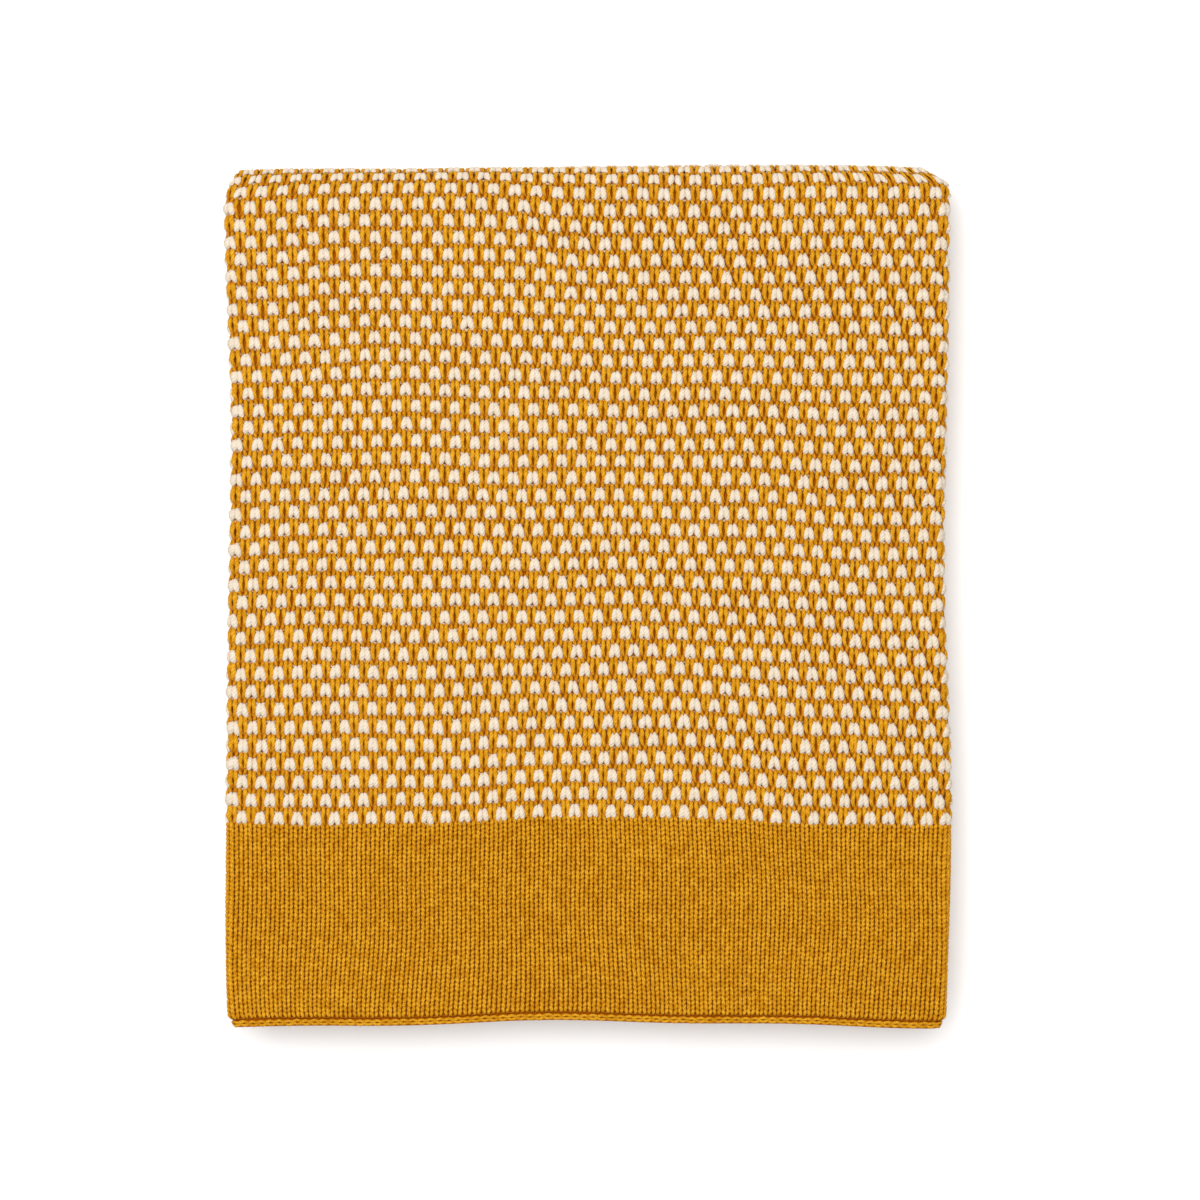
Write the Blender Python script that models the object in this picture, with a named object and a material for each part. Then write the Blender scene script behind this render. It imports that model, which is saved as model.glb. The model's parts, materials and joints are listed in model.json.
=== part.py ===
"""A knitted throw, folded flat: one panel in thirds across, and then in thirds along.

Metres, +Z up. The throw lies on its underside, with the origin at the middle of it. X runs across the
folded throw, +Y points to the top fold, and Z is the thickness of the stack.

Folding across makes a strip of three layers: the centre third, which is the outside of the strip, and
behind it the left third and the right third. The strip is then folded along its length. Its first
panel is the base, with the outside down. At the open end the strip turns up and back, and its hidden end
lies on the base as the middle panel. At the top fold the other end of the strip turns over them both, and
lies on top as the flap. The flap is the part that opens, about the outside of the top fold.
"""

import math
from collections import namedtuple

import bmesh
import bpy
from mathutils import Matrix, Vector

# Driving dimensions
WIDTH = 0.424  # across the folded throw
LENGTH = 0.508  # from the open end to the outside of the top fold
LAYER = 0.0050  # one thickness of knit, with the clear space to the next layer
GAP = 0.0003  # clear space between pieces that lie against each other
BAND = 0.116  # the plain band at each end of the panel
CHAIN = 0.0044  # diameter of the chain that finishes an end of the panel
LOWER_FOLD_INSET = 0.008  # how far the lower fold stays back from the open end
MIDDLE_END_INSET = 0.002  # how far the hidden end stays back from where the top fold begins to turn
SELVEDGE_INSET = 0.0015  # how far a selvedge stays back from the fold that it lies against

# Worked out from them
FABRIC = LAYER - GAP
STRIP = 3 * LAYER
STACK = 3 * STRIP
RIGHT = WIDTH / 2
OPEN_END = -LENGTH / 2
EDGE = CHAIN + GAP
TOP_RADIUS = STACK / 2
TOP_TURN_Y = LENGTH / 2 - TOP_RADIUS
LOWER_RADIUS = STRIP
LOWER_TURN_Y = OPEN_END + LOWER_FOLD_INSET + LOWER_RADIUS
MIDDLE_END = TOP_TURN_Y - MIDDLE_END_INSET
FLAP_BAND_END = OPEN_END + EDGE + BAND
MIDDLE_BAND_START = MIDDLE_END - EDGE - BAND
FLAP_AXIS = Vector((0, LENGTH / 2, STACK / 2))

# The two folds along the sides. The left fold joins the centre third to the left third beside it, and
# the right fold wraps round all three layers to join the centre third to the right third.
LEFT_FOLD_RADIUS = LAYER - GAP / 2
RIGHT_FOLD_RADIUS = (STRIP - GAP) / 2
LEFT_FOLD_X = -RIGHT + LEFT_FOLD_RADIUS
RIGHT_FOLD_X = RIGHT - RIGHT_FOLD_RADIUS

SIDE_STEPS = 8  # flat faces round half a turn of a side fold
TURN_STEPS = 8  # flat faces along a quarter turn of the top or the lower fold
CHAIN_SIDES = 2  # bevel resolution of the chain, which gives it eight sides

# A straight run of the strip along Y, whose outside is at height outside_z, with its layers stacked
# towards inward (1 is up, -1 is down).
Run = namedtuple("Run", "start_y end_y outside_z inward")
# A turn of the strip about an axis along X, whose outside is at this radius.
Turn = namedtuple("Turn", "centre_y centre_z radius start_deg end_deg")


def knit_material(name, colour, roughness):
    """Matte cotton yarn."""
    material = bpy.data.materials.new(name)
    material.use_nodes = True
    shader = material.node_tree.nodes["Principled BSDF"]
    shader.inputs["Base Color"].default_value = (*colour, 1)
    shader.inputs["Roughness"].default_value = roughness
    shader.inputs["Metallic"].default_value = 0.0
    material.diffuse_color = (*colour, 1)
    return material


def place(path, x, depth, along=0.0):
    """The point of a path at this distance across the strip and this depth below its outside."""
    if isinstance(path, Run):
        y = path.start_y + along * (path.end_y - path.start_y)
        return Vector((x, y, path.outside_z + path.inward * depth))
    angle = math.radians(path.start_deg + along * (path.end_deg - path.start_deg))
    reach = path.radius - depth
    return Vector((x, path.centre_y + reach * math.cos(angle), path.centre_z + reach * math.sin(angle)))


def layer_outline(left, right, layer):
    """Cross-section of one flat layer: corners as distance across and depth below the outside."""
    shallow = layer * LAYER
    deep = shallow + FABRIC
    return [(left, shallow), (right, shallow), (right, deep), (left, deep)]


def half_turn(centre_x, centre_depth, radius, side):
    """Points of a half circle that bulges to this side, from the outside of the strip inwards."""
    angles = [math.pi * step / SIDE_STEPS for step in range(SIDE_STEPS + 1)]
    return [
        (centre_x + side * radius * math.sin(angle), centre_depth - radius * math.cos(angle))
        for angle in angles
    ]


def left_fold_outline():
    """The two layers of the left fold lie against each other, so it is a solid half circle."""
    return half_turn(LEFT_FOLD_X, LEFT_FOLD_RADIUS, LEFT_FOLD_RADIUS, -1)


def right_fold_outline():
    """The right fold is half a ring, with the selvedge of the left third inside it."""
    outer = half_turn(RIGHT_FOLD_X, RIGHT_FOLD_RADIUS, RIGHT_FOLD_RADIUS, 1)
    inner = half_turn(RIGHT_FOLD_X, RIGHT_FOLD_RADIUS, RIGHT_FOLD_RADIUS - FABRIC, 1)
    return outer + inner[::-1]


def strip_outlines():
    """The pieces of the strip's cross-section, from its outside inwards."""
    return {
        "center": layer_outline(LEFT_FOLD_X + GAP, RIGHT_FOLD_X - GAP, 0),
        "left_third": layer_outline(LEFT_FOLD_X + GAP, RIGHT_FOLD_X - SELVEDGE_INSET, 1),
        "right_third": layer_outline(LEFT_FOLD_X - SELVEDGE_INSET, RIGHT_FOLD_X - GAP, 2),
        "left_fold": left_fold_outline(),
        "right_fold": right_fold_outline(),
    }


def swept_mesh(name, outline, path):
    """A closed solid: the outline filled at the start of the path, then drawn or spun along it."""
    bm = bmesh.new()
    corners = [bm.verts.new(place(path, x, depth)) for x, depth in outline]
    face = bm.faces.new(corners)
    if isinstance(path, Run):
        drawn = bmesh.ops.extrude_face_region(bm, geom=[face])
        moved = [item for item in drawn["geom"] if isinstance(item, bmesh.types.BMVert)]
        bmesh.ops.translate(bm, verts=moved, vec=(0, path.end_y - path.start_y, 0))
    else:
        sweep = path.end_deg - path.start_deg
        bmesh.ops.spin(
            bm,
            geom=[face, *face.edges, *face.verts],
            cent=(0, path.centre_y, path.centre_z),
            axis=(1, 0, 0),
            angle=math.radians(sweep),
            steps=max(1, round(TURN_STEPS * abs(sweep) / 90)),
        )
    bmesh.ops.recalc_face_normals(bm, faces=bm.faces)
    mesh = bpy.data.meshes.new(name)
    bm.to_mesh(mesh)
    bm.free()
    mesh.set_sharp_from_angle(angle=math.radians(40))
    return mesh


def add_object(name, data, material, collection, hinge):
    """Puts a piece in the collection, and parents it to the hinge that it turns on, if it has one."""
    data.materials.append(material)
    piece = bpy.data.objects.new(name, data)
    collection.objects.link(piece)
    if hinge is not None:
        piece.parent = hinge
        piece.matrix_parent_inverse = Matrix.Translation(-FLAP_AXIS)
    return piece


def add_strip(region, path, material, collection, hinge=None):
    """One region of the strip: its three layers and the two side folds that join them."""
    for piece, outline in strip_outlines().items():
        name = f"{region}_{piece}"
        add_object(name, swept_mesh(name, outline, path), material, collection, hinge)


def chain_route():
    """The middle of the chain across a folded end: left third, left fold, centre, right fold, right third."""
    reach = CHAIN / 2
    left_turn = half_turn(LEFT_FOLD_X, LEFT_FOLD_RADIUS, LEFT_FOLD_RADIUS - reach, -1)
    right_turn = half_turn(RIGHT_FOLD_X, RIGHT_FOLD_RADIUS, RIGHT_FOLD_RADIUS - reach, 1)
    left_end = (RIGHT_FOLD_X - SELVEDGE_INSET, left_turn[-1][1])
    right_end = (LEFT_FOLD_X - SELVEDGE_INSET, right_turn[-1][1])
    return [left_end, *left_turn[::-1], *right_turn, right_end]


def add_chain(name, path, material, collection, hinge=None):
    """The finished end of the panel: a chain of stitches that follows the folded strip across."""
    curve = bpy.data.curves.new(name, "CURVE")
    curve.dimensions = "3D"
    curve.bevel_depth = CHAIN / 2
    curve.bevel_resolution = CHAIN_SIDES
    curve.use_fill_caps = True
    route = [place(path, x, depth) for x, depth in chain_route()]
    spline = curve.splines.new("POLY")
    spline.points.add(len(route) - 1)
    for point, position in zip(spline.points, route):
        point.co = (*position, 1)
    add_object(name, curve, material, collection, hinge)


def clear_scene():
    for obj in list(bpy.data.objects):
        bpy.data.objects.remove(obj)


def main():
    clear_scene()
    collection = bpy.data.collections.new("folded_throw")
    bpy.context.scene.collection.children.link(collection)

    mustard = knit_material("mustard_knit", (0.60, 0.27, 0.012), 0.85)
    dotted = knit_material("dotted_knit", (0.66, 0.40, 0.12), 0.85)

    hinge = bpy.data.objects.new("flap_hinge", None)
    hinge.location = FLAP_AXIS
    collection.objects.link(hinge)

    # The flap, which opens: plain band, dotted field and the upper half of the top fold.
    flap_band = Run(OPEN_END + EDGE, FLAP_BAND_END, STACK, -1)
    flap_field = Run(FLAP_BAND_END + GAP, TOP_TURN_Y, STACK, -1)
    gap_angle = math.degrees(GAP / TOP_RADIUS)
    top_upper = Turn(TOP_TURN_Y, STACK / 2, TOP_RADIUS, 90 - gap_angle, 2 * gap_angle)
    flap_chain = Run(OPEN_END + CHAIN / 2, OPEN_END + CHAIN / 2, STACK, -1)
    add_chain("flap_bound_edge", flap_chain, mustard, collection, hinge)
    add_strip("flap_band", flap_band, mustard, collection, hinge)
    add_strip("flap_field", flap_field, dotted, collection, hinge)
    add_strip("top_fold_upper", top_upper, dotted, collection, hinge)

    # The base, which lies still: the lower half of the top fold, the base panel and the lower fold.
    top_lower = Turn(TOP_TURN_Y, STACK / 2, TOP_RADIUS, -2 * gap_angle, gap_angle - 90)
    base_field = Run(TOP_TURN_Y, LOWER_TURN_Y + GAP, 0, 1)
    lower_fold = Turn(LOWER_TURN_Y, LOWER_RADIUS, LOWER_RADIUS, -90, -270)
    add_strip("top_fold_lower", top_lower, dotted, collection)
    add_strip("base_field", base_field, dotted, collection)
    add_strip("lower_fold", lower_fold, dotted, collection)

    # The middle panel, which lies on the base: dotted field, plain band and cast-on edge.
    middle_field = Run(LOWER_TURN_Y + GAP, MIDDLE_BAND_START, 2 * STRIP, -1)
    middle_band = Run(MIDDLE_BAND_START + GAP, MIDDLE_END - EDGE, 2 * STRIP, -1)
    middle_chain = Run(MIDDLE_END - CHAIN / 2, MIDDLE_END - CHAIN / 2, 2 * STRIP, -1)
    add_strip("middle_field", middle_field, dotted, collection)
    add_strip("middle_band", middle_band, mustard, collection)
    add_chain("middle_cast_on_edge", middle_chain, mustard, collection)


main()
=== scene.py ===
"""The looks of the folded knitted throw: every visible stitch is a loop of real yarn.

The cloth is laid out flat first, in fabric coordinates: across (from the middle of the centre third, to
the right), along (from the bound edge, against the direction of knitting) and rise (above the middle of
the cloth, towards its right side). fold() then carries any point of the flat cloth to its place in the
folded throw, so yarn and ground cloth always agree. Metres throughout, +Z up.
"""

import json
import math
from collections import namedtuple

import bpy
import numpy as np
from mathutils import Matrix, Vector


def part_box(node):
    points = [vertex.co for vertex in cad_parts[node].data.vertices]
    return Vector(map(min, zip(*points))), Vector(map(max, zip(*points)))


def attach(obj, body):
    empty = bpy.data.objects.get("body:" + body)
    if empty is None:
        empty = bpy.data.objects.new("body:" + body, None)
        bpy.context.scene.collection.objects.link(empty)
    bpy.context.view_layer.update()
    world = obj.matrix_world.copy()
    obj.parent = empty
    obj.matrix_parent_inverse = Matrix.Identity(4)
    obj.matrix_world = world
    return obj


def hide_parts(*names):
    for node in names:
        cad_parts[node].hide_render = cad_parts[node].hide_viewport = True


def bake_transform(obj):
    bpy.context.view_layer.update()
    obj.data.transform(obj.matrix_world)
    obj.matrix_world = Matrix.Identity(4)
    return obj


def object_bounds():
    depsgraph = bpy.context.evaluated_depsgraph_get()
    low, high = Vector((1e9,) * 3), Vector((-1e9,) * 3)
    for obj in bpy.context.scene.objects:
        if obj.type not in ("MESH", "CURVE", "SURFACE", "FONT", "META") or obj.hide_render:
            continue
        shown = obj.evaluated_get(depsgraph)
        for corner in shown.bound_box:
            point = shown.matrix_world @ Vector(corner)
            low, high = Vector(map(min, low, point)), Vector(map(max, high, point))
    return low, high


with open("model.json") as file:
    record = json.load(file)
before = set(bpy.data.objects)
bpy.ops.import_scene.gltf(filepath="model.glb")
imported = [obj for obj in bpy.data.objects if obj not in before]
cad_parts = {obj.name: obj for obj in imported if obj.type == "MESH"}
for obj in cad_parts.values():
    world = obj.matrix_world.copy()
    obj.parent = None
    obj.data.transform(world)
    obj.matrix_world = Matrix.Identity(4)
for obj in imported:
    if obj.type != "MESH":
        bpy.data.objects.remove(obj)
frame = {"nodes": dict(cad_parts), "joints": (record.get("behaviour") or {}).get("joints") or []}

CAD_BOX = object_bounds()
TAU = 2 * math.pi
RANDOM = np.random.default_rng(20)

# ---------------------------------------------------------------- sizes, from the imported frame

BASE, FLAP = "folded_base", "top_flap"
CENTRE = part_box("flap_field_center")
LEFT_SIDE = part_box("flap_field_left_fold")
RIGHT_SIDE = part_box("flap_field_right_fold")
BOUND_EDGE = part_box("flap_bound_edge")
CAST_ON_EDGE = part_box("middle_cast_on_edge")
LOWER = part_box("lower_fold_center")

STACK = CAD_BOX[1][2]
FABRIC = CENTRE[1][2] - CENTRE[0][2]
HALF_WIDTH = CAD_BOX[1][0]
OPEN_END = BOUND_EDGE[0][1]
TOP_TURN_Y = CENTRE[1][1]
TOP_RADIUS = STACK / 2
LOWER_TURN_Y = LOWER[1][1]
LOWER_RADIUS = (LOWER[1][2] - LOWER[0][2]) / 2
LEFT_FOLD_X = LEFT_SIDE[1][0]
RIGHT_FOLD_X = RIGHT_SIDE[0][0]
LEFT_FOLD_RADIUS = (LEFT_SIDE[1][2] - LEFT_SIDE[0][2]) / 2
RIGHT_FOLD_RADIUS = (RIGHT_SIDE[1][2] - RIGHT_SIDE[0][2]) / 2
BAND_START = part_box("flap_band_center")[0][1] - OPEN_END
BAND_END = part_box("flap_band_center")[1][1] - OPEN_END
HINGE_Y = frame["joints"][0]["pos_m"][1]

# The middle of the cloth turns at these radii.
MID = FABRIC / 2
LEFT_BEND = LEFT_FOLD_RADIUS - MID
RIGHT_BEND = RIGHT_FOLD_RADIUS - MID
TOP_BEND = TOP_RADIUS - MID
LOWER_BEND = LOWER_RADIUS - MID

# Distances along the cloth at which each stretch of it ends.
FLAP_LENGTH = TOP_TURN_Y - OPEN_END
TOP_TURN_LENGTH = math.pi * TOP_BEND
BASE_LENGTH = TOP_TURN_Y - LOWER_TURN_Y
LOWER_TURN_LENGTH = math.pi * LOWER_BEND
MIDDLE_LENGTH = CAST_ON_EDGE[1][1] - LOWER_TURN_Y
TOP_TURN_END = FLAP_LENGTH + TOP_TURN_LENGTH
BASE_END = TOP_TURN_END + BASE_LENGTH
LOWER_TURN_END = BASE_END + LOWER_TURN_LENGTH
CLOTH_LENGTH = LOWER_TURN_END + MIDDLE_LENGTH
FAR_BAND_START = CLOTH_LENGTH - BAND_END
FAR_BAND_END = CLOTH_LENGTH - BAND_START

# Distances across the cloth.
RIGHT_TURN_END = RIGHT_FOLD_X + math.pi * RIGHT_BEND
LEFT_TURN_END = LEFT_FOLD_X - math.pi * LEFT_BEND
RIGHT_SELVEDGE = RIGHT_TURN_END + RIGHT_FOLD_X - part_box("flap_field_right_third")[0][0]
LEFT_SELVEDGE = LEFT_TURN_END - (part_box("flap_field_left_third")[1][0] - LEFT_FOLD_X)
MARGIN = 0.012  # yarn runs this far past a side fold, out of sight
LEFT_MARGIN = LEFT_TURN_END - MARGIN
RIGHT_MARGIN = RIGHT_TURN_END + MARGIN

# ---------------------------------------------------------------- the knit

FIELD_WALE = 0.00540  # one stitch across, where the dotted field begins
FAN = 0.135  # how much wider a stitch is at the top fold; the wales fan out from the left side
FAN_REACH = 0.12  # no wale is shifted further than this by the fanning
ROW_CROWDING = 0.034  # how much taller a row is by the bands and amid the base, and shorter at the folds
BAND_WALE = 0.00530  # one stitch across, in a plain band
DOT_ROW = 0.01022  # one row of dots along: a cream course and a mustard course
CREAM_SHARE = 0.58  # of the length of a row of dots
BAND_COURSE = 0.00268  # one course of a plain band, along
CREASE = 0.0009  # clear space between a band and the finished edge
DOT_WIDENING = 0.08  # how much a dot widens its wale, at the expense of the slipped ones beside it
NEXT_WIDENING = 0.10  # the same in the mustard course that follows

# The shape of a loop: how far its legs spread towards its head, how much they waver, how far they bow apart
# two thirds of the way down, how far it lies above the middle of the cloth, how far it passes in front of
# that and behind it, the radius of its yarn, how much fatter the middle of a leg is, and how uneven it is.
# A hook is how far a loop reaches into the courses next to it.
Loop = namedtuple("Loop", "spread waver bow lift depth radius swell uneven")
DOT = Loop(1.36, 0.12, bow=0, lift=0.00010, depth=0.00092, radius=0.00168, swell=0.32, uneven=1.2)
SHORT = Loop(0.60, 0.10, bow=0, lift=-0.00055, depth=0.00080, radius=0.00108, swell=0.15, uneven=1.0)
SLIPPED = Loop(0.45, 0, bow=0.00085, lift=0, depth=0.00110, radius=0.00126, swell=0.20, uneven=1.0)
BAND_LOOP = Loop(1.0, 0, bow=0, lift=0, depth=0.00105, radius=0.00101, swell=0.18, uneven=0.5)
FIELD_HOOK = 0.00110
BAND_HOOK = 0.00075
UNDER_DOT = 0.00060  # how much less far the head of a short loop goes, under the dot that it holds
FLOAT_SAG = 0.0008  # how far the yarn behind a slipped stitch hangs back
FLOAT_THICKNESS = 0.65  # of the yarn of a loop, as a float is pulled thin
FLOAT_SAMPLES = 3

# How uneven the loops are: standard deviations, in metres, or as a share of the value for the last two.
UNEVEN_EDGE = 0.00012
UNEVEN_ACROSS = 0.00012
UNEVEN_FOOT = 0.00012
UNEVEN_HEAD = 0.00022
UNEVEN_TILT = 0.00022
UNEVEN_RISE = 0.00008
UNEVEN_SPREAD = 0.10
UNEVEN_RADIUS = 0.04

# The finished edge: a chain of links, and the rolled cord below it.
CHAIN_LINK = 0.0053  # one link, across
LINK_LINE = 0.00215  # from the very end to the middle of the links
LINK_LAP = 1.6  # how many links a link reaches across
LINK_SWING = 0.00122  # how far a link opens, along
LINK_RISE = 0.0002
LINK_DEPTH = 0.0010
LINK_RADIUS = 0.00090
LINK_SAMPLES = 13
UNEVEN_LINK_ACROSS = 0.00015
UNEVEN_LINK_ALONG = 0.00010
ROLL_RADIUS = 0.0012
ROLL_RISE = -0.0009
ROLL_RIPPLE = 0.0001  # how far the roll follows the links, along
ROLL_SWELL = 0.05  # how much fatter the roll is at a link, as a share of its radius

# The ground, which is the back of the knit as one surface, and how finely everything is meshed.
GROUND_STEP = 0.004
GROUND_RISE = -0.0008
FLATNESS = 0.9  # of yarn, which lies a little wider than it is thick
MOST_TRIANGLES = 190000  # in one piece of yarn
FINE = (14, 6)  # points along a loop and sides of its yarn, where the cloth faces up
MEDIUM = (10, 5)  # inside the package
COARSE = (8, 4)  # on its underside
CHAIN_SIDES = 6

# ---------------------------------------------------------------- the soft shape of the package

# A wave has a height, a length and a place where its crest is. A ripple has a share of the whole, a length,
# a slant (how fast its phase changes in the other direction) and a phase.
Wave = namedtuple("Wave", "height length crest")
Ripple = namedtuple("Ripple", "share length slant phase")

FLOOR_CLEARANCE = 0.0009  # lifts the cloth so that the yarn of its underside rests on the floor
RIGHT_CORNER = 0.0115  # how far the sides draw in at the ends of the top fold
RIGHT_CORNER_REACH = 0.018  # and over what length
LEFT_CORNER = 0.0060
LEFT_CORNER_REACH = 0.034
END_CORNER = 0.0030  # how far they draw in at the open end
END_CORNER_REACH = 0.011
SIDE_SWAY = Wave(-0.0017, 0.40, 0.055)  # wider and narrower along the package
SIDE_SHIFT = Wave(0.0006, 0.24, 0.12)  # both sides to the left and to the right
END_REACH = 0.16  # the open end is uneven over this length
END_SET_BACK = 0.0018
END_ARCH = Wave(0.0019, 0.42, 0.0)
END_WAVE = Wave(0.0007, 0.15, 0.125)
TOP_REACH = 0.024  # the top fold is uneven over this length
TOP_CORNER_DIP = 0.0012
TOP_DIP = Wave(0.0011, 0.50, 0.11)
LUMP_HEIGHT = 0.012  # as a share of the height above the floor
LUMP_MIDDLE = 1.6  # keeps the lumps below the height of an even stack
BROAD_LUMPS = (Ripple(1.0, 0.19, 0.0, 1.3), Ripple(1.0, 0.16, 0.0, 0.4))
SMALL_LUMPS = (Ripple(0.6, 0.083, 5.0, 0.0), Ripple(1.0, 0.11, 0.0, 2.0))

WALE_DRIFT = 0.0009  # how far the wales wander sideways
WALE_RIPPLES = (Ripple(1.0, 0.23, 9.0, 0.0), Ripple(0.6, 0.097, 21.0, 1.0))
LEAN = 0.0020  # how far the wales lean near the bound edge
LEAN_REACH = 0.075
LEAN_RIPPLE = Ripple(1.0, 0.27, 0.0, 0.9)
COURSE_DRIFT = 0.0020  # how far the courses rise and fall
COURSE_RIPPLES = (Ripple(1.0, 0.46, 5.0, 0.8), Ripple(0.5, 0.24, -9.0, 2.2), Ripple(0.2, 0.098, 24.0, 0.0))
STRAIGHT_END, FREE_END = 0.02, 0.13  # courses are straight up to the first and drift freely past the second

# One row of the knit. near is its lower end, towards the bound edge, where its heads are. knits is the
# parity of the wales it knits, or None for all. slipped is the parity of the wales whose loops the next
# course slips, and below is how much further these loops stretch, across that course. wide is the parity
# of the wales that a dot widens, or None in a plain band.
COURSE_PARTS = "yarn loop wale near pitch knits slipped below wide"
Course = namedtuple("Course", COURSE_PARTS, defaults=(None, None, 0.0, None))


def smooth_step(value, low, high):
    """0 up to low, 1 past high, and an even curve between them."""
    t = np.clip((value - low) / (high - low), 0, 1)
    return t * t * (3 - 2 * t)


def wave(kind, value):
    """Height of a Wave at this place."""
    return kind.height * np.cos(TAU * (value - kind.crest) / kind.length)


def ripple(kind, value, other):
    """A Ripple at this place, where other is the place in the other direction."""
    return kind.share * np.sin(TAU * value / kind.length + kind.slant * other + kind.phase)


def fold_across(across, rise):
    """Distance across the strip and depth below its outside, for a point of the flat cloth."""
    right = np.clip((across - RIGHT_FOLD_X) / RIGHT_BEND, 0, math.pi)
    left = np.clip((LEFT_FOLD_X - across) / LEFT_BEND, 0, math.pi)
    back = np.maximum(across - RIGHT_TURN_END, 0) - np.maximum(LEFT_TURN_END - across, 0)
    x = np.clip(across, LEFT_FOLD_X, RIGHT_FOLD_X) - back
    x = x + (RIGHT_BEND + rise) * np.sin(right) - (LEFT_BEND + rise) * np.sin(left)
    bend = np.where(across > 0, RIGHT_BEND, LEFT_BEND)
    depth = MID + bend - (bend + rise) * np.cos(right + left)
    return x, depth


def fold_along(along, depth):
    """Y and Z of a point at this distance along the cloth and this depth below the strip's outside."""
    top = np.clip((along - FLAP_LENGTH) / TOP_BEND, 0, math.pi)
    lower = np.clip((along - BASE_END) / LOWER_BEND, 0, math.pi)
    run = np.minimum(along, FLAP_LENGTH)
    run = run - np.clip(along - TOP_TURN_END, 0, BASE_LENGTH) + np.maximum(along - LOWER_TURN_END, 0)
    y = OPEN_END + run + (TOP_RADIUS - depth) * np.sin(top) - (LOWER_RADIUS - depth) * np.sin(lower)
    z = STACK / 2 + (TOP_RADIUS - depth) * np.cos(top)
    z = z + LOWER_RADIUS - depth - (LOWER_RADIUS - depth) * np.cos(lower)
    return y, z


def settle(x, y, z):
    """The soft irregularity of the package: sides that wander, rounded corners, a lightly lumpy top."""
    side = x / HALF_WIDTH
    near_top = smooth_step(y, HINGE_Y - TOP_REACH, HINGE_Y)
    near_end = smooth_step(-y, -OPEN_END - END_CORNER_REACH, -OPEN_END)
    right_corner = RIGHT_CORNER * smooth_step(y, HINGE_Y - RIGHT_CORNER_REACH, HINGE_Y) ** 2
    left_corner = LEFT_CORNER * smooth_step(y, HINGE_Y - LEFT_CORNER_REACH, HINGE_Y) ** 2
    corner = (np.where(x > 0, right_corner, left_corner) + END_CORNER * near_end**2) * np.abs(side) ** 3
    new_x = x - np.sign(x) * corner + wave(SIDE_SWAY, y) * side + wave(SIDE_SHIFT, y) * np.abs(side)

    open_end = smooth_step(-y, -OPEN_END - END_REACH, -OPEN_END)
    lift = END_SET_BACK + wave(END_ARCH, x) + wave(END_WAVE, x)
    dip = TOP_CORNER_DIP * side**8 + TOP_DIP.height - wave(TOP_DIP, x)
    new_y = y + lift * open_end - dip * near_top

    lumps = ripple(BROAD_LUMPS[0], x, y) * ripple(BROAD_LUMPS[1], y, x)
    lumps = lumps + ripple(SMALL_LUMPS[0], x, y) * ripple(SMALL_LUMPS[1], y, x)
    new_z = FLOOR_CLEARANCE + z * (1 - LUMP_HEIGHT * (LUMP_MIDDLE + lumps))
    return new_x, new_y, new_z


def fold(points):
    """World positions of points given in fabric coordinates."""
    x, depth = fold_across(points[:, 0], points[:, 2])
    y, z = fold_along(points[:, 1], depth)
    return np.stack(settle(x, y, z), axis=-1)


def drift_across(across, along):
    """Slow sideways wander of the wales, which also fan out towards the top fold and back again."""
    sway = sum(ripple(kind, along, across) for kind in WALE_RIPPLES)
    near_end = 1 - smooth_step(along, 0.0, LEAN_REACH)
    opened = np.clip((along - BAND_END) / (FLAP_LENGTH - BAND_END), 0, 1)
    closed = np.clip((along - TOP_TURN_END) / BASE_LENGTH, 0, 1)
    fan = FAN * (opened - closed) * (across - LEFT_FOLD_X)
    return fan + WALE_DRIFT * sway + LEAN * near_end * ripple(LEAN_RIPPLE, across, along)


def drift_along(across, along):
    """Slow rise and fall of the courses, which dies out at the finished ends."""
    sway = sum(ripple(kind, across, along) for kind in COURSE_RIPPLES)
    from_far_end = CLOTH_LENGTH - along
    free = smooth_step(along, STRAIGHT_END, FREE_END) * smooth_step(from_far_end, STRAIGHT_END, FREE_END)
    return COURSE_DRIFT * sway * free


# ---------------------------------------------------------------- courses of loops


def noise(count, size):
    """Random offsets of this standard deviation, one for each loop of a row."""
    return RANDOM.normal(0, size, count)[:, None]


def loop_cells(edges, feet, heads, loop, samples):
    """Centreline points and radii of a row of knitted loops, one between each pair of edges.

    Each loop comes up at its foot, runs down the front as a leg, passes behind at its head and returns
    up the other leg. The connecting yarn passes behind, from foot to foot.
    """
    s = np.arange(samples) / samples
    count = len(feet)
    left, right = edges[:-1, None], edges[1:, None]
    centre, half = (left + right) / 2, (right - left) / 2
    spread = loop.spread + noise(count, UNEVEN_SPREAD * loop.uneven)
    swing = spread / math.pi * np.sin(2 * TAU * s) + loop.waver * np.sin(4 * TAU * s)
    down = (1 - np.cos(TAU * s)) / 2
    # This is 1 two thirds of the way down, and falls away quickly on both sides of that.
    two_thirds_down = (27 / 4 * down**2 * (1 - down)) ** 5
    bow = loop.bow * two_thirds_down * np.sign(np.sin(TAU * s))
    across = centre + half * (2 * (s - 0.5) + swing) - bow
    across = across + noise(count, UNEVEN_ACROSS * loop.uneven) * np.sin(TAU * s)
    tilt = noise(count, UNEVEN_TILT * loop.uneven) * np.sin(TAU * s)
    along = feet + (heads - feet) * down + tilt
    rise = loop.lift - loop.depth * np.cos(2 * TAU * s) + noise(count, UNEVEN_RISE * loop.uneven)
    radius = loop.radius * (1 + noise(count, UNEVEN_RADIUS)) * (1 - loop.swell * np.cos(2 * TAU * s))
    return np.stack(np.broadcast_arrays(across, along, rise, radius), axis=-1)


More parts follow.
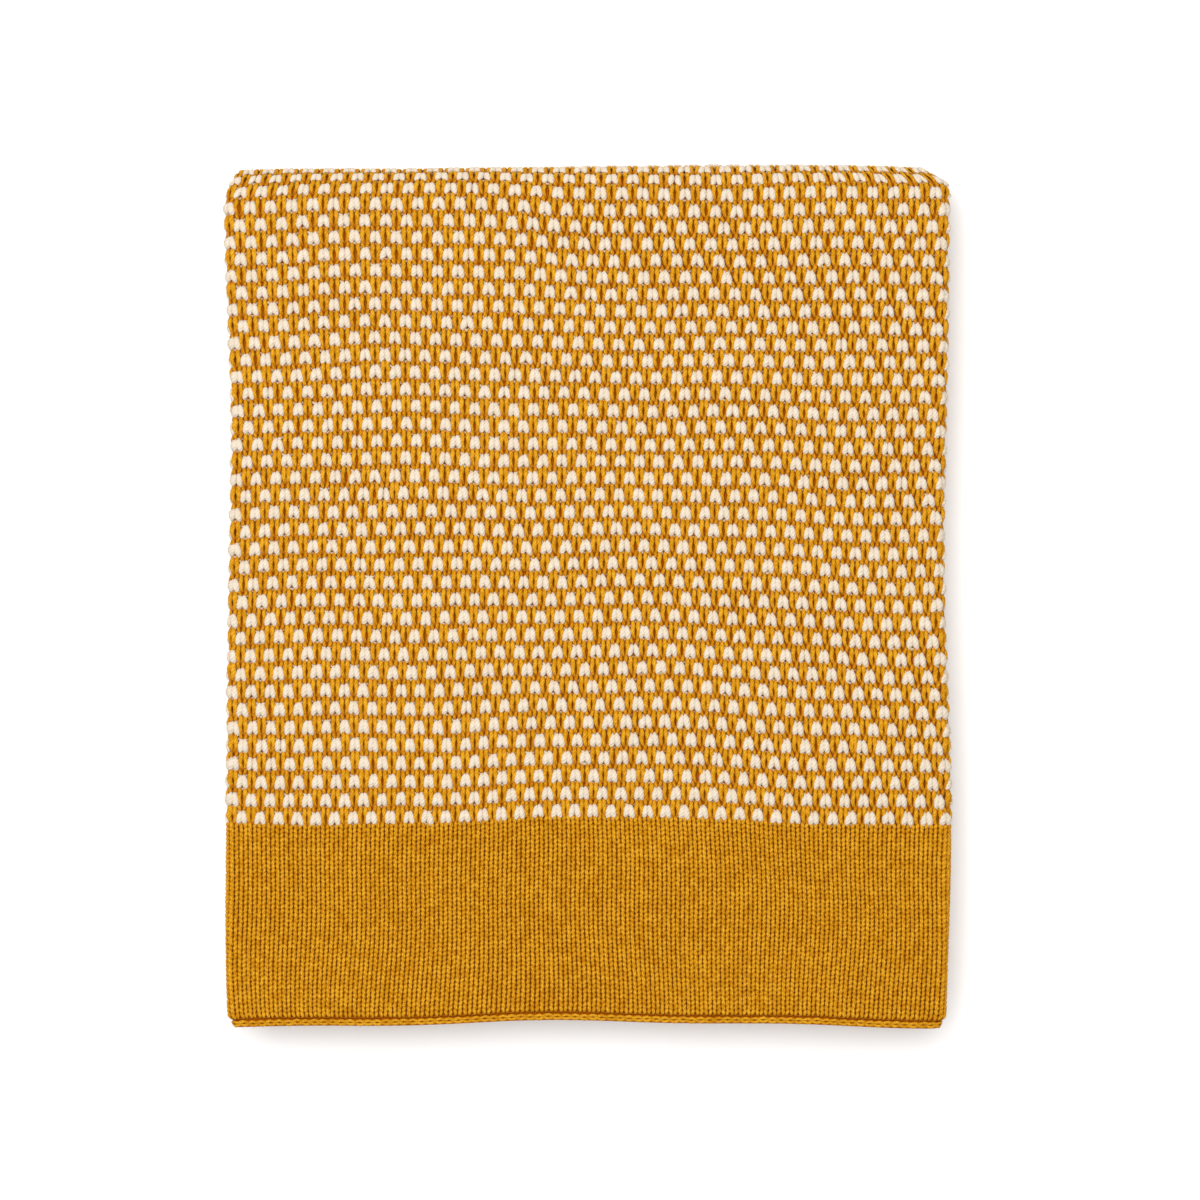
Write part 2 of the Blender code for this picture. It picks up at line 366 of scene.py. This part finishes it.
def float_cells(edges, feet, loop):
    """Centreline points and radii of yarn that runs straight behind slipped stitches."""
    s = np.arange(FLOAT_SAMPLES) / FLOAT_SAMPLES
    left, right = edges[:-1, None], edges[1:, None]
    across = left + (right - left) * s
    rise = -loop.depth - FLOAT_SAG * np.sin(math.pi * s)
    radius = np.full(len(s), FLOAT_THICKNESS * loop.radius)
    return np.stack(np.broadcast_arrays(across, feet, rise, radius), axis=-1)


def wale_edges(course, start, end):
    """Edges of the stitches of a course between two distances across, and the parity of each stitch."""
    first = math.floor((start - FAN_REACH) / course.wale)
    index = np.arange(first, math.ceil(end / course.wale) + 1)
    edges = index * course.wale
    if course.wide is not None:
        towards = np.where(index % 2 == course.wide, -1, 1)
        widening = DOT_WIDENING if course.yarn == "cream" else NEXT_WIDENING
        edges = edges + towards * widening * course.wale / 2
    uneven = RANDOM.normal(0, UNEVEN_EDGE * course.loop.uneven, len(edges))
    edges = edges + drift_across(edges, course.near) + uneven
    low = max(start - course.wale, LEFT_SELVEDGE)
    high = min(end + course.wale, RIGHT_SELVEDGE)
    kept = (edges > low) & (edges < high)
    return edges[kept], index[kept][:-1] % 2


def course_line(course, start, end, samples):
    """The centreline of one course, as across, along, rise and radius at each point."""
    edges, parity = wale_edges(course, start, end)
    count = len(parity)
    hook = BAND_HOOK if course.wide is None else FIELD_HOOK
    feet = course.near + course.pitch + hook + noise(count, UNEVEN_FOOT * course.loop.uneven)
    heads = course.near - hook + noise(count, UNEVEN_HEAD * course.loop.uneven)
    if course.yarn == "mustard" and course.wide is not None:
        short = loop_cells(edges, feet, heads + UNDER_DOT, SHORT, samples)
        slipped = loop_cells(edges, feet, heads - course.below, SLIPPED, samples)
        cells = np.where((parity == course.slipped)[:, None, None], slipped, short)
    else:
        cells = loop_cells(edges, feet, heads, course.loop, samples)
    if course.knits is None:
        line = cells.reshape(-1, 4)
    else:
        floats = float_cells(edges, feet, course.loop)
        rows = [cells[i] if parity[i] == course.knits else floats[i] for i in range(count)]
        line = np.concatenate(rows)
    line[:, 1] += drift_along(line[:, 0], line[:, 1])
    return line


def field_courses():
    """The dotted field: mustard courses, and between them cream ones that slip every second stitch."""
    length = FAR_BAND_START - BAND_END
    rows = round(length / DOT_ROW)
    along = np.linspace(0, 1, rows + 1)
    starts = BAND_END + length * (along + ROW_CROWDING / (2 * TAU) * np.sin(2 * TAU * along))
    courses = []
    for k in range(rows):
        near = starts[k]
        row = starts[k + 1] - near
        cream, mustard = CREAM_SHARE * row, (1 - CREAM_SHARE) * row
        own = k % 2
        courses.append(Course("cream", DOT, FIELD_WALE, near, cream, knits=own, wide=own))
        near = near + cream
        courses.append(
            Course("mustard", SHORT, FIELD_WALE, near, mustard, slipped=1 - own, below=cream, wide=own)
        )
    return courses


def band_courses(start, end):
    """A plain band: every stitch is knitted in mustard."""
    count = round((end - start) / BAND_COURSE)
    pitch = (end - start) / count
    return [Course("mustard", BAND_LOOP, BAND_WALE, start + k * pitch, pitch) for k in range(count)]


def chain_lines(near, towards, samples):
    """The finished edge: a rolled cord at the very end, and a row of slanting links that laps over it.

    near is the distance along of the very end, and towards is 1 or -1, the way to the rest of the cloth.
    """
    count = round((RIGHT_SELVEDGE - LEFT_SELVEDGE) / CHAIN_LINK)
    link = (RIGHT_SELVEDGE - LEFT_SELVEDGE) / count
    s = np.linspace(0, 1, samples)
    lap = (1 - np.cos(TAU * s)) / 2
    lines = []
    for i in range(count - 1):
        across = LEFT_SELVEDGE + link * (i + LINK_LAP * lap) + RANDOM.normal(0, UNEVEN_LINK_ACROSS)
        along = LINK_LINE - LINK_SWING * np.sin(TAU * s) ** 5 + RANDOM.normal(0, UNEVEN_LINK_ALONG)
        rise = LINK_RISE - LINK_DEPTH * np.cos(2 * TAU * s)
        lines.append(np.stack([across, along, rise, np.full(samples, LINK_RADIUS)], axis=-1))
    across = np.arange(LEFT_SELVEDGE, RIGHT_SELVEDGE, link / 4)
    swing = np.sin(TAU * across / link)
    along = LINK_LINE + ROLL_RIPPLE * swing
    radius = ROLL_RADIUS * (1 + ROLL_SWELL * swing)
    lines.append(np.stack(np.broadcast_arrays(across, along, ROLL_RISE, radius), axis=-1))
    for line in lines:
        line[:, 1] = near + towards * line[:, 1]
        line[:, 1] += drift_along(line[:, 0], line[:, 1])
    return lines


# ---------------------------------------------------------------- meshes of yarn


def tube(line, sides):
    """Points round a centreline, a ring of them at each of its points."""
    centres, radius = line[:, :3], line[:, 3]
    ring = np.arange(sides) * TAU / sides
    forward = np.gradient(centres, axis=0)
    forward /= np.linalg.norm(forward, axis=1, keepdims=True)
    side = np.cross(forward, (0.0, 0.0, 1.0))
    side /= np.linalg.norm(side, axis=1, keepdims=True)
    up = np.cross(side, forward)
    around = np.cos(ring)[:, None] * side[:, None] + FLATNESS * np.sin(ring)[:, None] * up[:, None]
    return centres[:, None] + radius[:, None, None] * around


def tube_quads(rows, sides):
    """Faces between neighbouring rings of a tube, as indices of its points."""
    here = np.arange(sides)
    beside = (here + 1) % sides
    ring = np.arange(rows - 1)[:, None] * sides
    quads = [ring + here, ring + sides + here, ring + sides + beside, ring + beside]
    return np.stack(quads, axis=-1).reshape(-1, 4)


def tube_uv(line, sides):
    """Yarn coordinates of each face corner: metres along the yarn, and turns round it."""
    steps = np.linalg.norm(np.diff(line[:, :3], axis=0), axis=1)
    length = np.concatenate([[0], np.cumsum(steps)])
    u0, u1 = length[:-1, None], length[1:, None]
    v0 = np.arange(sides)[None] / sides
    corners = [(u0, v0), (u1, v0), (u1, v0 + 1 / sides), (u0, v0 + 1 / sides)]
    return np.stack([np.stack(np.broadcast_arrays(u, v), axis=-1) for u, v in corners], axis=2)


def add_uv(mesh, name, values):
    layer = mesh.uv_layers.new(name=name)
    layer.data.foreach_set("uv", values.astype(np.float32).reshape(-1))


def add_level(mesh, rise):
    """Keeps how far each point is from the back of the cloth (0) to its front (1); the yarn's material
    paints shade by it.
    """
    layer = mesh.attributes.new("level", "FLOAT", "POINT")
    layer.data.foreach_set("value", np.clip(0.5 + rise / (2 * MID), 0, 1).astype(np.float32))


def yarn_mesh(name, lines, sides):
    """One mesh of tubes along these centrelines, folded into place."""
    flat, quads, uv = [], [], []
    count = 0
    for line in lines:
        flat.append(tube(line, sides).reshape(-1, 3))
        quads.append(tube_quads(len(line), sides) + count)
        uv.append(tube_uv(line, sides).reshape(-1, 2))
        count += len(flat[-1])
    flat, quads = np.concatenate(flat), np.concatenate(quads)
    mesh = bpy.data.meshes.new(name)
    mesh.vertices.add(len(flat))
    mesh.vertices.foreach_set("co", fold(flat).astype(np.float32).reshape(-1))
    mesh.loops.add(quads.size)
    mesh.loops.foreach_set("vertex_index", quads.astype(np.int32).reshape(-1))
    mesh.polygons.add(len(quads))
    mesh.polygons.foreach_set("loop_start", np.arange(0, quads.size, 4, dtype=np.int32))
    mesh.polygons.foreach_set("use_smooth", np.ones(len(quads), bool))
    add_uv(mesh, "yarn", np.concatenate(uv))
    add_level(mesh, flat[:, 2])
    spread = flat[quads.reshape(-1), :2]
    low = spread.min(axis=0)
    add_uv(mesh, "OFBake", (spread - low) / (spread.max(axis=0) - low))
    mesh.update()
    return mesh


# ---------------------------------------------------------------- materials

PLY_COUNT = 4
PLY_PITCH = 0.0022  # along the yarn, from one strand to the next
GROOVE_EDGE = 0.55  # height of the strand's wave at which its groove ends
PATCH_SCALE = 260.0  # spots per metre of the patches of dye, of the fuzz and of the single fibres
FUZZ_SCALE = 1300.0
FIBRE_SCALE = 1500.0
FIBRE_HEIGHT = 0.9  # of the height of a strand
DYE_RANGE = (0.40, 0.60)  # the share of the dye's noise that the yarn's colours are spread over
YARN_RELIEF = 0.00035
GROUND_SCALE = 900.0
GROUND_RANGE = (0.1, 0.6)
GROUND_RELIEF = 0.0005
BUMP_STRENGTH = 0.8


def math_node(tree, operation, first, second):
    """A math node of two inputs, each a number or an output of another node."""
    made = tree.nodes.new("ShaderNodeMath")
    made.operation = operation
    for socket, value in zip(made.inputs, (first, second)):
        if isinstance(value, (int, float)):
            socket.default_value = value
        else:
            tree.links.new(value, socket)
    return made.outputs[0]


def spread_out(tree, value, low, high):
    """Value stretched so that low becomes 0 and high becomes 1, and held between them."""
    made = tree.nodes.new("ShaderNodeMapRange")
    made.inputs["From Min"].default_value = low
    made.inputs["From Max"].default_value = high
    tree.links.new(value, made.inputs["Value"])
    return made.outputs["Result"]


def mixed(tree, factor, first, second):
    """A colour between two others, each a colour or an output of another node."""
    made = tree.nodes.new("ShaderNodeMix")
    made.data_type = "RGBA"
    tree.links.new(factor, made.inputs["Factor"])
    colours = [socket for socket in made.inputs if socket.type == "RGBA"]
    for socket, value in zip(colours, (first, second)):
        if isinstance(value, tuple):
            socket.default_value = (*value, 1)
        else:
            tree.links.new(value, socket)
    return next(socket for socket in made.outputs if socket.type == "RGBA")


def noise_texture(tree, scale, detail):
    place = tree.nodes.new("ShaderNodeTexCoord")
    made = tree.nodes.new("ShaderNodeTexNoise")
    made.inputs["Scale"].default_value = scale
    made.inputs["Detail"].default_value = detail
    tree.links.new(place.outputs["Object"], made.inputs["Vector"])
    return made.outputs["Fac"]


def plies(tree, count, pitch):
    """A wave that is high on each strand of the yarn and low in the grooves, twisting along it."""
    uv = tree.nodes.new("ShaderNodeUVMap")
    uv.uv_map = "yarn"
    split = tree.nodes.new("ShaderNodeSeparateXYZ")
    tree.links.new(uv.outputs["UV"], split.inputs[0])
    along = math_node(tree, "DIVIDE", split.outputs["X"], pitch)
    around = math_node(tree, "MULTIPLY", split.outputs["Y"], count)
    turn = math_node(tree, "MULTIPLY", math_node(tree, "ADD", along, around), math.pi)
    return math_node(tree, "ABSOLUTE", math_node(tree, "SINE", turn, 0.0), 0.0)


def add_relief(tree, height, distance):
    """A bump on the material's shader, which is distance high where height is 1."""
    bump = tree.nodes.new("ShaderNodeBump")
    bump.inputs["Strength"].default_value = BUMP_STRENGTH
    bump.inputs["Distance"].default_value = distance
    tree.links.new(height, bump.inputs["Height"])
    tree.links.new(bump.outputs["Normal"], tree.nodes["Principled BSDF"].inputs["Normal"])


def yarn_material(name, bright, dull, painted_shade, grooves, inside):
    """Soft plied cotton: twisted strands, fine fibres and uneven dyeing, with shade painted into its
    colour.

    The yarn is painted in a darker shade colour towards the back of the cloth and in the grooves between
    its strands, where shade falls. grooves is how much painted shade lies between the strands, and inside
    gives the levels between which the yarn comes out of the painted shade.
    """
    material = bpy.data.materials.new(name)
    material.use_nodes = True
    tree = material.node_tree
    shader = tree.nodes["Principled BSDF"]
    shader.inputs["Roughness"].default_value = 0.85
    shader.inputs["Sheen Weight"].default_value = 0.12
    shader.inputs["Sheen Roughness"].default_value = 0.5
    shader.inputs["Sheen Tint"].default_value = (*bright, 1)
    shader.inputs["Specular IOR Level"].default_value = 0.08

    strand = plies(tree, PLY_COUNT, PLY_PITCH)
    fibre = noise_texture(tree, FIBRE_SCALE, detail=2.0)
    patchy = math_node(tree, "MULTIPLY", noise_texture(tree, PATCH_SCALE, detail=3.0), 0.5)
    fuzzy = math_node(tree, "MULTIPLY", noise_texture(tree, FUZZ_SCALE, detail=1.0), 0.5)
    tone_mix = spread_out(tree, math_node(tree, "ADD", patchy, fuzzy), *DYE_RANGE)
    groove = spread_out(tree, strand, 0.0, GROOVE_EDGE)
    # painted shade: the lower the yarn lies in the cloth, by its level, the more it takes the shade colour
    level = tree.nodes.new("ShaderNodeAttribute")
    level.attribute_name = "level"
    out_of_shade = spread_out(tree, level.outputs["Fac"], *inside)
    tone = mixed(tree, tone_mix, dull, bright)
    # painted shade in the grooves between the strands
    shown = math_node(tree, "ADD", math_node(tree, "MULTIPLY", groove, grooves), 1 - grooves)
    tone = mixed(tree, shown, painted_shade, tone)
    colour = mixed(tree, out_of_shade, painted_shade, tone)
    tree.links.new(colour, shader.inputs["Base Color"])

    relief = math_node(tree, "ADD", strand, math_node(tree, "MULTIPLY", fibre, FIBRE_HEIGHT))
    add_relief(tree, relief, YARN_RELIEF)
    return material


def ground_material(name, bright, painted_shade):
    """The back of the knit, seen between the loops: fine ribs along it, unevenly dyed, in colours of the
    mustard yarn darkened with painted shade, darkest in the painted shade of the grooves between the ribs.
    """
    material = bpy.data.materials.new(name)
    material.use_nodes = True
    tree = material.node_tree
    shader = tree.nodes["Principled BSDF"]
    shader.inputs["Roughness"].default_value = 0.95
    shader.inputs["Specular IOR Level"].default_value = 0.05
    uv = tree.nodes.new("ShaderNodeUVMap")
    uv.uv_map = "cloth"
    split = tree.nodes.new("ShaderNodeSeparateXYZ")
    tree.links.new(uv.outputs["UV"], split.inputs[0])
    turn = math_node(tree, "MULTIPLY", split.outputs["X"], TAU / FIELD_WALE * 2)
    rib = math_node(tree, "ABSOLUTE", math_node(tree, "SINE", turn, 0.0), 0.0)
    # painted shade: the noise is multiplied by the rib, so the grooves between the ribs take the darker
    # colour
    tone_mix = math_node(tree, "MULTIPLY", noise_texture(tree, GROUND_SCALE, detail=2.0), rib)
    colour = mixed(tree, spread_out(tree, tone_mix, *GROUND_RANGE), painted_shade, bright)
    tree.links.new(colour, shader.inputs["Base Color"])
    add_relief(tree, rib, GROUND_RELIEF)
    return material


def plain_material(name, colour, roughness):
    material = bpy.data.materials.new(name)
    material.use_nodes = True
    shader = material.node_tree.nodes["Principled BSDF"]
    shader.inputs["Base Color"].default_value = (*colour, 1)
    shader.inputs["Roughness"].default_value = roughness
    return material


# ---------------------------------------------------------------- pieces


def show(name, mesh, material):
    """Puts a mesh in the scene as one piece, with its looks in a material slot."""
    mesh.materials.append(MATERIALS[material])
    piece = bpy.data.objects.new(name, mesh)
    bpy.context.scene.collection.objects.link(piece)
    return piece


def ground_mesh(name, start, end):
    """The ground of the knit, behind the fronts of the loops: the folded cloth as one open surface."""
    columns = round((RIGHT_SELVEDGE - LEFT_SELVEDGE) / GROUND_STEP)
    rows = max(2, round((end - start) / GROUND_STEP))
    across = np.linspace(LEFT_SELVEDGE, RIGHT_SELVEDGE, columns + 1)
    along = np.linspace(start, end, rows + 1)
    a, b = (grid.reshape(-1) for grid in np.meshgrid(across, along))
    points = np.stack([a, b, np.full(a.size, GROUND_RISE)], axis=-1)
    corner = (np.arange(rows)[:, None] * (columns + 1) + np.arange(columns)).reshape(-1)
    quads = np.stack([corner, corner + 1, corner + columns + 2, corner + columns + 1], axis=-1)
    mesh = bpy.data.meshes.new(name)
    mesh.from_pydata(fold(points).tolist(), [], quads.tolist())
    spread = points[quads.reshape(-1), :2]
    low = spread.min(axis=0)
    add_uv(mesh, "cloth", spread)
    add_uv(mesh, "OFBake", (spread - low) / (spread.max(axis=0) - low))
    mesh.shade_smooth()
    return mesh


def knit(region, courses, start, end, samples, sides):
    """Pieces of yarn for these courses, each small enough to stay one clean mesh."""
    pieces = []
    for yarn in ("mustard", "cream"):
        own = [course for course in courses if course.yarn == yarn]
        lines = [course_line(course, start, end, samples) for course in own]
        triangles = [len(line) * sides * 2 for line in lines]
        block = max(1, int(MOST_TRIANGLES / max(triangles, default=1)))
        for first in range(0, len(lines), block):
            name = f"{region}_{yarn}_{first // block + 1}"
            mesh = yarn_mesh(name, lines[first : first + block], sides)
            pieces.append(show(name, mesh, yarn))
    return pieces


def courses_between(start, end):
    """The courses whose middle lies between these distances along the cloth."""
    return [course for course in COURSES if start <= course.near + course.pitch / 2 < end]


def knit_face(region, start, end, detail):
    """The yarn of the centre third and the two side folds, between two distances along the cloth."""
    return knit(f"{region}_yarn", courses_between(start, end), LEFT_MARGIN, RIGHT_MARGIN, *detail)


def knit_right_third(region, start, end, detail):
    """The yarn of the right third, which shows on the underside of an opened panel."""
    return knit(f"{region}_underside", courses_between(start, end), RIGHT_MARGIN, RIGHT_SELVEDGE, *detail)


def chain(name, near, towards):
    mesh = yarn_mesh(name, chain_lines(near, towards, LINK_SAMPLES), CHAIN_SIDES)
    return [show(name, mesh, "mustard")]


def add_cloth(name, start, end, yarn, *replaced):
    """The ground of one stretch of the folded cloth, together with the yarn that covers it; the frame's
    parts that it replaces are hidden.
    """
    ground = show(name, ground_mesh(name, start, end), "ground")
    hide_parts(*[node for node in frame["nodes"] if node.startswith(replaced)])
    return [ground, *yarn]


MATERIALS = {
    "mustard": yarn_material(
        "mustard_yarn",
        bright=(0.68, 0.345, 0.016),
        dull=(0.475, 0.192, 0.001),
        # the mustard in shade, painted on where the yarn lies low in the cloth and between its strands
        painted_shade=(0.32, 0.062, 0.0),
        grooves=0.5,
        inside=(0.36, 0.84),
    ),
    "cream": yarn_material(
        "cream_yarn",
        bright=(0.68, 0.595, 0.48),
        dull=(0.62, 0.52, 0.40),
        # painted shade, browned as by light bounced off the mustard yarn
        painted_shade=(0.30, 0.10, 0.01),
        grooves=0.10,
        inside=(0.42, 0.60),
    ),
    # both colours of the ground are the mustard yarn darkened with painted shade
    "ground": ground_material("ground_knit", bright=(0.47, 0.110, 0.0), painted_shade=(0.33, 0.062, 0.0)),
}
COURSES = band_courses(BAND_START + CREASE, BAND_END)
COURSES += field_courses()
COURSES += band_courses(FAR_BAND_START, FAR_BAND_END - CREASE)

flap_yarn = knit_face("flap", 0, FLAP_LENGTH, FINE)
flap_yarn += knit_right_third("flap", 0, FLAP_LENGTH, COARSE)
flap_yarn += chain("bound_edge_chain", 0, 1)
flap = add_cloth("flap_cloth", 0, FLAP_LENGTH, flap_yarn, "flap_")

top_fold_yarn = knit_face("top_fold", FLAP_LENGTH, TOP_TURN_END, FINE)
top_fold_yarn += knit_right_third("top_fold", FLAP_LENGTH, TOP_TURN_END, COARSE)
top_fold = add_cloth("top_fold_cloth", FLAP_LENGTH, TOP_TURN_END, top_fold_yarn, "top_fold_")

base_yarn = knit_face("base", TOP_TURN_END, BASE_END, COARSE)
base_yarn += knit_face("lower_fold", BASE_END, LOWER_TURN_END, MEDIUM)
base_yarn += knit_face("middle", LOWER_TURN_END, CLOTH_LENGTH, MEDIUM)
base_yarn += chain("cast_on_edge_chain", CLOTH_LENGTH, -1)
base = add_cloth(
    "base_cloth", TOP_TURN_END, CLOTH_LENGTH, base_yarn, "base_", "lower_fold_", "middle_"
)

for piece in flap:
    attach(piece, FLAP)
for piece in base:
    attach(piece, BASE)
# The top fold belongs to neither body: its pieces stay where they are in the world.
for piece in top_fold:
    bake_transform(piece)

# ---------------------------------------------------------------- stage

FLOOR_SIZE = 8
FLOOR_COLOUR = (0.95, 0.95, 0.95)
STUDIO_LIGHT = 0.72  # strength of the even light from all round
OVERHEAD_PLACE = (-0.28, 0.36, 1.9)
OVERHEAD_SIZE = 1.8
OVERHEAD_POWER = 41
SENSOR_WIDTH = 36  # millimetres
CAMERA_PLACE = (0.0071, -0.0032, 3.0)
FRAME_WIDTH = 0.7036  # metres in view at the height of the top of the package


def add_area(name, location, target, size, power):
    light = bpy.data.lights.new(name, "AREA")
    light.energy = power
    light.size = size
    obj = bpy.data.objects.new(name, light)
    obj.location = location
    aim = np.array(target) - np.array(location)
    obj.rotation_euler = Vector(aim).to_track_quat("-Z", "Y").to_euler()
    bpy.context.scene.collection.objects.link(obj)


bpy.ops.mesh.primitive_plane_add(size=FLOOR_SIZE, location=(0, 0, 0))
floor = bpy.context.object
floor.name = "floor"
floor.data.materials.append(plain_material("floor_white", FLOOR_COLOUR, roughness=0.9))

world = bpy.data.worlds.new("studio")
bpy.context.scene.world = world
world.use_nodes = True
world.node_tree.nodes["Background"].inputs["Color"].default_value = (1, 1, 1, 1)
world.node_tree.nodes["Background"].inputs["Strength"].default_value = STUDIO_LIGHT
add_area("overhead", OVERHEAD_PLACE, (0, 0, 0), OVERHEAD_SIZE, OVERHEAD_POWER)
bpy.context.scene.view_settings.view_transform = "Standard"

camera = bpy.data.cameras.new("camera")
camera.sensor_width = SENSOR_WIDTH
camera.lens = SENSOR_WIDTH * (CAMERA_PLACE[2] - STACK) / FRAME_WIDTH
eye = bpy.data.objects.new("camera", camera)
eye.location = CAMERA_PLACE
bpy.context.scene.collection.objects.link(eye)
bpy.context.scene.camera = eye
